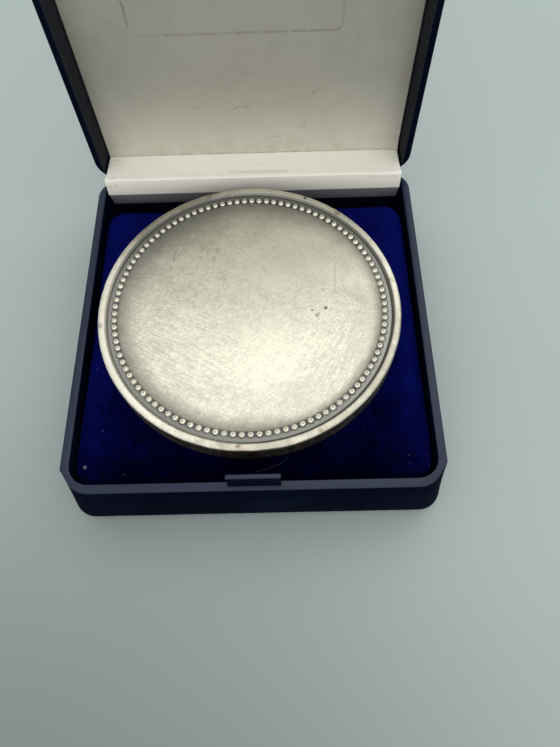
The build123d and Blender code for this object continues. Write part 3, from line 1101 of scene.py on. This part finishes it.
@dataclass
class Medal:
    """Thick struck disc with a rim, a ring of beads and a bare dished field.

    Each point of a foot or a rim says how far inside the rim's inner edge it lies, and how far above its
    level. Each point of the beads' outline is a share of their radius and a share of their height.
    """

    centre: Point = (-0.65, -0.8)
    bottom: float = 19.25
    thickness: float = 5.9
    radius: float = 35.0
    rim_width: float = 2.0
    edge_rounding: float = 0.6
    rounding_steps: int = 6
    face_step: float = 0.7
    reverse_foot: tuple[Point, ...] = ((0.35, 0.0), (0.15, -0.12))
    reverse_rim: tuple[Point, ...] = ((0.02, 0.12), (-0.12, 0.0))
    face_rim: tuple[Point, ...] = ((-0.80, 0.0), (-0.48, -0.02), (-0.26, -0.10), (-0.02, -0.38))
    face_foot: tuple[Point, ...] = ((0.14, -0.04), (0.42, 0.0))
    bead_ring: float = 31.25
    bead_count: int = 105
    bead_radius: float = 0.70
    bead_height: float = 0.5
    bead_root: float = 0.05
    field_edge: float = 30.2
    lip_outside: float = 0.15
    lip_inside: float = 0.10
    lip_depth: float = 0.05
    floor_radius: float = 23.2
    dish_depth: float = 0.25
    dish_steps: int = 4
    middle_radius: float = 12.76
    middle_sunk_by: float = 0.01
    rim_worn_in: float = 0.042
    rim_worn_down: float = 0.049
    rim_wear_least: float = 0.6
    rim_wear_start: float = 0.5
    rim_wear_reach: float = 1.2
    rim_dents: tuple[float, float] = (16.0, 47.0)
    facets: int = 210
    crease: float = 50
    bead_corners: int = 12
    bead_outline: tuple[Point, ...] = (
        (0.95, 0.34), (0.84, 0.72), (0.64, 0.98), (0.38, 1.0), (0.27, 0.76), (0.10, 0.70),
    )
    bead_widths: Span = (-0.07, 0.05)
    bead_heights: Span = (0.80, 1.0)
    seed: int = 7

    def build(self) -> list[bpy.types.Object]:
        """Builds and dresses the medal.

        Returns:
            The finished piece.
        """
        disc = Bench.raise_rings(self._profile(), (*self.centre, self.bottom), self.facets, "struck_medal")
        self._wear_rim(disc)
        beads = self._beads()
        Bench.take(disc)
        for bead in beads:
            bead.select_set(True)
        bpy.ops.object.join()
        Bench.smooth(disc, self.crease)
        finish = AntiqueSilver(
            self.centre, self.bead_ring, self.bead_count, self.field_edge,
            self.radius - self.rim_width, self.radius, self.bottom + self.thickness,
        )
        return [Bench.hand_over(disc, "medal", Body.BASE, Slot.MEDAL, finish.material())]

    def _profile(self) -> list[Point]:
        """Works out the medal's outline, from the reverse's recess round the edge to the field's middle.

        Returns:
            The radius and the height of each ring.
        """
        top = self.thickness
        face = top - self.face_step
        turn = self.edge_rounding
        steps = self.rounding_steps
        arc = [math.radians(90 * number / steps) for number in range(steps + 1)]
        outline = self._beside_rim(self.reverse_foot, self.face_step)
        outline += self._beside_rim(self.reverse_rim, 0.0)
        outline += [(self.radius - turn + turn * math.sin(a), turn - turn * math.cos(a)) for a in arc]
        outline += [(self.radius - turn + turn * math.cos(a), top - turn + turn * math.sin(a)) for a in arc]
        outline += self._beside_rim(self.face_rim, top) + self._beside_rim(self.face_foot, face)
        lip = face - self.lip_depth
        outline += [(self.field_edge + self.lip_outside, face), (self.field_edge - self.lip_inside, lip)]
        for number in range(1, self.dish_steps + 1):
            share = number / self.dish_steps
            run = self.field_edge - (self.field_edge - self.floor_radius) * share
            outline.append((run, lip - (self.dish_depth - self.lip_depth) * share))
        outline.append((self.middle_radius, face - self.dish_depth - self.middle_sunk_by))
        return outline

    def _beside_rim(self, points: tuple[Point, ...], level: float) -> list[Point]:
        """Places points that are given by how far inside the rim and above a level they lie."""
        inner = self.radius - self.rim_width
        return [(inner - inside, level + above) for inside, above in points]

    def _wear_rim(self, disc: bpy.types.Object) -> None:
        """Makes the rim's outer edge slightly uneven, as striking and use leave it.

        Args:
            disc: The medal without its beads.
        """
        x, y = self.centre
        first = self.radius - self.rim_width + self.rim_wear_start
        for vertex in disc.data.vertices:
            out = Vector((vertex.co.x / MM - x, vertex.co.y / MM - y, 0))
            if out.length < first:
                continue
            way = out.normalized()
            share = min(1.0, (out.length - first) / self.rim_wear_reach)
            broad, fine = self.rim_dents
            dent = noise.noise(way * broad) + 0.8 * noise.noise(way * fine + Vector((5, 3, 1)))
            vertex.co -= way * (self.rim_worn_in * share * (self.rim_wear_least + dent) * MM)
            if vertex.co.z / MM > self.bottom + self.thickness - self.edge_rounding:
                vertex.co.z -= self.rim_worn_down * share * abs(dent) * MM

    def _beads(self) -> list[bpy.types.Object]:
        """Models one bead and sets copies of it round the ring.

        Returns:
            The beads.
        """
        outline = [(self.bead_radius, 0.0)]
        for share, tall in self.bead_outline:
            outline.append((share * self.bead_radius, self.bead_root + tall * self.bead_height))
        x, y = self.centre
        foot = self.bottom + self.thickness - self.face_step - self.bead_root
        model = Bench.raise_rings(outline, (x + self.bead_ring, y, foot), self.bead_corners, "bead")
        luck = random.Random(self.seed)
        middle = Matrix.Translation(Vector((x, y, 0)) * MM)
        low = Matrix.Translation(Vector((x + self.bead_ring, y, foot)) * MM)
        beads = []
        for number in range(self.bead_count):
            bead = model.copy()
            bead.data = model.data.copy()
            wide = 1 + luck.uniform(*self.bead_widths)
            scale = Matrix.Diagonal((wide, wide, luck.uniform(*self.bead_heights), 1))
            turn = Matrix.Rotation(math.tau * number / self.bead_count, 4, "Z")
            bead.data.transform(middle @ turn @ middle.inverted() @ low @ scale @ low.inverted())
            bpy.context.scene.collection.objects.link(bead)
            beads.append(bead)
        bpy.data.objects.remove(model)
        return beads


# The box


@dataclass
class BoxBase:
    """Lower half of the box: moulded tray, velvet pad and the fixed half of the hinge strip."""

    medal: Medal
    gloss: float = 0.013
    edge_rounding: float = 0.28
    strip_rounding: float = 0.16
    strip_crease: float = 20
    rims: tuple[Span, ...] = ((19.5, 20.4), (26.0, 26.8))
    half_width: float = 39.1
    front: float = -40.55
    back: float = 33.6
    bottom: float = 1.85
    top: float = 19.2
    corner: float = 4.4
    corner_steps: int = 6
    upper_edge: float = 0.9
    upper_edge_steps: int = 4
    pad_crease: float = 80
    inset: float = 0.2
    voxel: float = 1.5
    swell: float = 0.4
    cover_pressure: float = 4.0
    cover_frames: int = 20
    side_room: float = 0.2
    front_room: float = 0.15
    back_room: float = 0.3
    soft_depth: float = 4.0
    unevenness: float = 0.16
    unevenness_size: float = 5.0
    hollow_depth: float = 0.05
    hollow_room: float = 0.3
    hollow_slope: float = 0.22
    # Heights below which the base's strip is painted with shade and with the velvet's reflection.
    strip_folds: Span = (19.78, 14.9)
    strip_stains: tuple[Line, ...] = (
        ((-38.5, -16.2), (-36.0, -15.8), 1.4, 0.4),
        ((30.0, -15.4), (38.0, -15.6), 0.9, 0.3),
    )

    def build(self) -> list[bpy.types.Object]:
        """Builds and dresses the base's pieces.

        Returns:
            The finished pieces.
        """
        shell = Bench.refined_copy("box_base", "base_tray", self.edge_rounding)
        strip = Bench.refined_copy("base_hinge_leaf", "base_hinge_strip", self.strip_rounding,
                                   self.strip_crease)
        cushion = self._cushion()
        plastic = MouldedPlastic("navy_moulding", self.gloss, self.rims).material()
        cover = HingeCover("white_hinge_fold", self.strip_stains, *self.strip_folds).material()
        Bench.hand_over(shell, "box_base", Body.BASE, Slot.SHELL, plastic)
        Bench.hand_over(strip, "base_hinge_leaf", Body.BASE, Slot.STRIP, cover)
        Bench.hand_over(cushion, "velvet_pad", Body.BASE, Slot.VELVET, Velvet().material())
        return [shell, cushion, strip]

    def _cushion(self) -> bpy.types.Object:
        """Shapes the pad as a block, swells its cover and presses it under the medal.

        Returns:
            The pad.
        """
        width = 2 * (self.half_width - self.inset)
        length = self.back - self.front - 2 * self.inset
        height = self.top - self.bottom - self.inset
        high = self.bottom + height
        hair = 0.01
        middle = (0, (self.front + self.back) / 2 * MM, (self.bottom + height / 2) * MM)
        size = (width * MM, length * MM, height * MM)
        Bench.clear()
        bpy.ops.mesh.primitive_cube_add(size=1, location=middle, scale=size)
        pad = Bench.name_new("velvet_cushion")
        Bench.settle(pad)
        bpy.ops.object.mode_set(mode="EDIT")
        Bench.choose_edges(pad, lambda where, run: abs(run.z) > height / 2)
        bpy.ops.mesh.bevel(offset=self.corner * MM, segments=self.corner_steps)
        Bench.choose_edges(pad, lambda where, run: where.z > high - hair and abs(run.z) < hair)
        bpy.ops.mesh.bevel(offset=self.upper_edge * MM, segments=self.upper_edge_steps)
        bpy.ops.object.mode_set(mode="OBJECT")
        Bench.modify(pad, "REMESH", mode="VOXEL", voxel_size=self.voxel * MM, adaptivity=0.0)
        start = [vertex.co.copy() for vertex in pad.data.vertices]
        self._swell(pad)
        self._press(pad, start)
        Bench.modify(pad, "SUBSURF", levels=1, render_levels=1)
        Bench.smooth(pad, self.pad_crease)
        return pad

    def _swell(self, pad: bpy.types.Object) -> None:
        """Runs the cloth simulation on the pad's cover and applies it.

        Args:
            pad: The pad.
        """
        Bench.take(pad)
        modifier = pad.modifiers.new("Cover", "CLOTH")
        settings = modifier.settings
        settings.use_pressure = True
        settings.uniform_pressure_force = self.cover_pressure
        settings.effector_weights.gravity = 0
        scene = bpy.context.scene
        for step in range(1, self.cover_frames + 1):
            scene.frame_set(step)
        bpy.ops.object.modifier_apply(modifier=modifier.name)
        scene.frame_set(1)

    def _press(self, pad: bpy.types.Object, start: list[Vector]) -> None:
        """Caps how far the cover has moved and lets the medal lie in it.

        Args:
            pad: The pad.
            start: Where its points were before.
        """
        cap = self.swell * MM
        for vertex, before in zip(pad.data.vertices, start):
            moved = vertex.co - before
            if moved.length > cap:
                moved *= cap / moved.length
            place = (before + moved) / MM
            place.x = max(-self.half_width - self.side_room, min(self.half_width + self.side_room, place.x))
            place.y = max(self.front - self.front_room, min(self.back + self.back_room, place.y))
            place.z = max(self.bottom, place.z)
            if place.z > self.top - self.soft_depth:
                patch = Vector((place.x, place.y, 3.0)) / self.unevenness_size
                place.z += self.unevenness * noise.noise(patch)
            away = math.hypot(place.x - self.medal.centre[0], place.y - self.medal.centre[1])
            outside = max(0.0, away - self.medal.radius - self.hollow_room)
            place.z = min(place.z, self.medal.bottom - self.hollow_depth + outside * self.hollow_slope)
            vertex.co = place * MM


@dataclass
class BoxLid:
    """Upper half of the box: moulded lid, its lining and the moving half of the hinge strip."""

    gloss: float = 0.025
    edge_rounding: float = 0.14
    strip_rounding: float = 0.14
    strip_crease: float = 20
    lean: float = 2.2
    width: float = 77.7
    length: float = 81.05
    thickness: float = 0.6
    pressed_by: float = 0.15
    corner: float = 4.1
    cloth_crease: float = 40
    grid: tuple[int, int] = (78, 82)
    gather_reach: float = 2.2
    gather: float = 0.10
    ragged_size: float = 6.0
    curl: float = 0.16
    sunk_by: float = 0.06
    pucker: float = 0.10
    pucker_size: float = 14.0
    flat_margin: float = 6.0
    torn_reach: float = 2.6
    torn_height: float = 0.8
    face_middle: Point = (50.68, 62.655)
    wall_inside: float = 39.5
    frame_corner: Point = (-25.2, 55.7)
    frame_size: Point = (46.9, 27.0)
    strip_stains: tuple[Line, ...] = (
        ((-6.0, -18.3), (8.5, -18.2), 1.5, 0.55),
        ((-37.2, -25.2), (-36.2, -24.8), 1.3, 0.5),
        ((35.5, -26.2), (38.4, -26.4), 1.0, 0.5),
        ((-1.0, -21.6), (3.0, -21.4), 0.9, 0.25),
    )

    def build(self) -> list[bpy.types.Object]:
        """Builds and dresses the lid's pieces.

        Returns:
            The finished pieces.
        """
        shell = Bench.refined_copy("box_lid", "lid_shell", self.edge_rounding)
        strip = Bench.refined_copy("lid_hinge_leaf", "lid_hinge_strip", self.strip_rounding,
                                   self.strip_crease)
        lining = self._lining()
        plastic = MouldedPlastic("navy_lid_moulding", self.gloss, dusty_within=self.wall_inside).material()
        cover = HingeCover("white_hinge_flap", self.strip_stains).material()
        cloth = OffWhiteLining(self.frame_corner, self.frame_size).material()
        Bench.hand_over(shell, "box_lid", Body.LID, Slot.SHELL, plastic)
        Bench.hand_over(strip, "lid_hinge_leaf", Body.LID, Slot.STRIP, cover)
        Bench.hand_over(lining, "lid_lining", Body.LID, Slot.LINING, cloth)
        return [shell, lining, strip]

    def _lining(self) -> bpy.types.Object:
        """Lays a fine grid on the lid's floor and gives it the lining's edge and puckers.

        Returns:
            The lining.
        """
        tilt = math.radians(90 - self.lean)
        y, z = self.face_middle
        Bench.clear()
        bpy.ops.mesh.primitive_grid_add(x_subdivisions=self.grid[0], y_subdivisions=self.grid[1], size=1)
        lining = Bench.name_new("lid_lining_cloth")
        for vertex in lining.data.vertices:
            vertex.co = self._laid(vertex.co.x * self.width, vertex.co.y * self.length) * MM
        lining.data.transform(Matrix.Translation((0, y * MM, z * MM)) @ Matrix.Rotation(tilt, 4, "X"))
        Bench.modify(lining, "SOLIDIFY", thickness=(self.thickness - self.pressed_by) * MM, offset=-1.0)
        Bench.smooth(lining, self.cloth_crease)
        return lining

    def _laid(self, across: float, along: float) -> Vector:
        """Finds where a point of the flat cloth lies on the lid's floor.

        Args:
            across: Its place to the right of the cloth's middle.
            along: Its place from the middle towards the lid's far end.

        Returns:
            Its place in the plane of the lining.
        """
        half, end = self.width / 2, self.length / 2
        out_x = abs(across) - (half - self.corner)
        out_y = along - (end - self.corner)
        if out_x > 0 and out_y > 0:
            reach = math.hypot(out_x, out_y)
            square = max(out_x, out_y) / self.corner
            shrink = square * self.corner / reach if reach else 1.0
            across = math.copysign(half - self.corner + out_x * shrink, across)
            along = end - self.corner + out_y * shrink
        ragged = 0.5 + 0.5 * noise.noise(Vector((across / self.ragged_size, 4.0, 0.0)))
        near_hinge = max(0.0, 1.0 - (along + end) / self.gather_reach)
        along += near_hinge * self.gather * ragged
        inner = min(1.0, (half - abs(across)) / self.flat_margin, (end - abs(along)) / self.flat_margin)
        waves = noise.noise(Vector((across, along, 9.0)) / self.pucker_size)
        height = -self.sunk_by + self.pucker * max(0.0, inner) * waves
        height += near_hinge**2 * (self.curl + self.curl * ragged)
        torn = max(0.0, 1.0 - math.hypot(across - half, along + end) / self.torn_reach)
        return Vector((across, along, height + self.torn_height * torn**1.5))


# The studio


@dataclass(frozen=True)
class Lamp:
    """One soft rectangular light."""

    name: str
    place: Place
    size: Point
    power: float
    aim: Place = (0.0, 0.0, 0.02)
    colour: Colour = (1.0, 0.99, 0.97)

    def build(self) -> None:
        """Hangs the light, turns it to what it lights and keeps it out of the pictures."""
        data = bpy.data.lights.new(self.name, "AREA")
        data.shape = "RECTANGLE"
        data.size, data.size_y = self.size
        data.energy = self.power
        data.color = self.colour
        lamp = bpy.data.objects.new(self.name, data)
        lamp.location = self.place
        lamp.rotation_euler = (Vector(self.aim) - Vector(self.place)).to_track_quat("-Z", "Y").to_euler()
        lamp.visible_camera = False
        bpy.context.scene.collection.objects.link(lamp)


@dataclass(frozen=True)
class Glow:
    """Soft light from one side of the room."""

    way: Place
    strength: float
    narrowness: float = 4


@dataclass
class Studio:
    """Table, soft light and the camera that looks down into the open box."""

    picture: tuple[int, int] = (560, 747)
    focal_pixels: float = 588.572
    sensor: float = 36.0
    nearest: float = 0.005
    camera_place: Place = (7.687, -72.514, 141.507)
    yaw: float = 1.579
    pitch: float = 65.035
    roll: float = -2.801
    table_size: float = 3.0
    room: Colour = (1.0, 0.985, 0.96)
    room_light: float = 0.68
    glows: tuple[Glow, ...] = (Glow((0, -0.75, 0.65), 0.78), Glow((0.8, 0, 0.6), 0.18))
    lamps: tuple[Lamp, ...] = (
        Lamp("ceiling_softbox", (0.10, 0.10, 0.80), (1.2, 1.2), 1.6),
        Lamp("rear_softbox", (0.35, 0.30, 0.50), (0.4, 0.4), 0.25),
        Lamp("high_softbox", (0.10, 0.30, 0.90), (0.5, 0.5), 0.48),
    )

    def build(self) -> None:
        """Sets up the camera, table and light."""
        self._camera()
        self._table()
        self._room()
        for lamp in self.lamps:
            lamp.build()
        bpy.context.scene.view_settings.view_transform = "Standard"

    def _camera(self) -> None:
        """Places the camera."""
        data = bpy.data.cameras.new("camera")
        data.sensor_width = self.sensor
        data.lens = self.focal_pixels / max(self.picture) * self.sensor
        data.clip_start = self.nearest
        camera = bpy.data.objects.new("camera", data)
        place = Vector(self.camera_place) * MM
        camera.matrix_world = (
            Matrix.Translation(place)
            @ Matrix.Rotation(math.radians(self.yaw), 4, "Z")
            @ Matrix.Rotation(math.radians(90 - self.pitch), 4, "X")
            @ Matrix.Rotation(math.radians(self.roll), 4, "Z")
        )
        bpy.context.scene.collection.objects.link(camera)
        bpy.context.scene.camera = camera

    def _table(self) -> None:
        """Lays the table top under the box."""
        Bench.clear()
        bpy.ops.mesh.primitive_plane_add(size=self.table_size)
        table = Bench.name_new("table_top")
        table.data.materials.append(TableTop().material())

    def _room(self) -> None:
        """Fills the room with soft light, brighter from some sides."""
        world = bpy.data.worlds.new("soft_room")
        world.use_nodes = True
        n = Nodes(world.node_tree)
        way = n.node("ShaderNodeTexCoord", output="Generated")
        light = self.room_light
        for glow in self.glows:
            axis = tuple(Vector(glow.way).normalized())
            towards = n.vector("DOT_PRODUCT", way, axis, output="Value").largest(0.0)
            light = towards**glow.narrowness * glow.strength + light
        shown = n.node("ShaderNodeBackground", None, {"Color": self.room, "Strength": light})
        n.add("ShaderNodeOutputWorld", None, {"Surface": shown})
        bpy.context.scene.world = world


def main() -> None:
    """Builds the studio and the object, and logs each piece's face count."""
    logging.basicConfig(level=logging.INFO, format="%(name)s: %(message)s")
    Studio().build()
    medal = Medal()
    for assembly in (medal, BoxBase(medal), BoxLid()):
        for piece in assembly.build():
            sides = len(piece.data.polygons)
            log.info("%s: %s with %d faces", type(assembly).__name__, piece.name, sides)


if __name__ == "__main__":
    main()
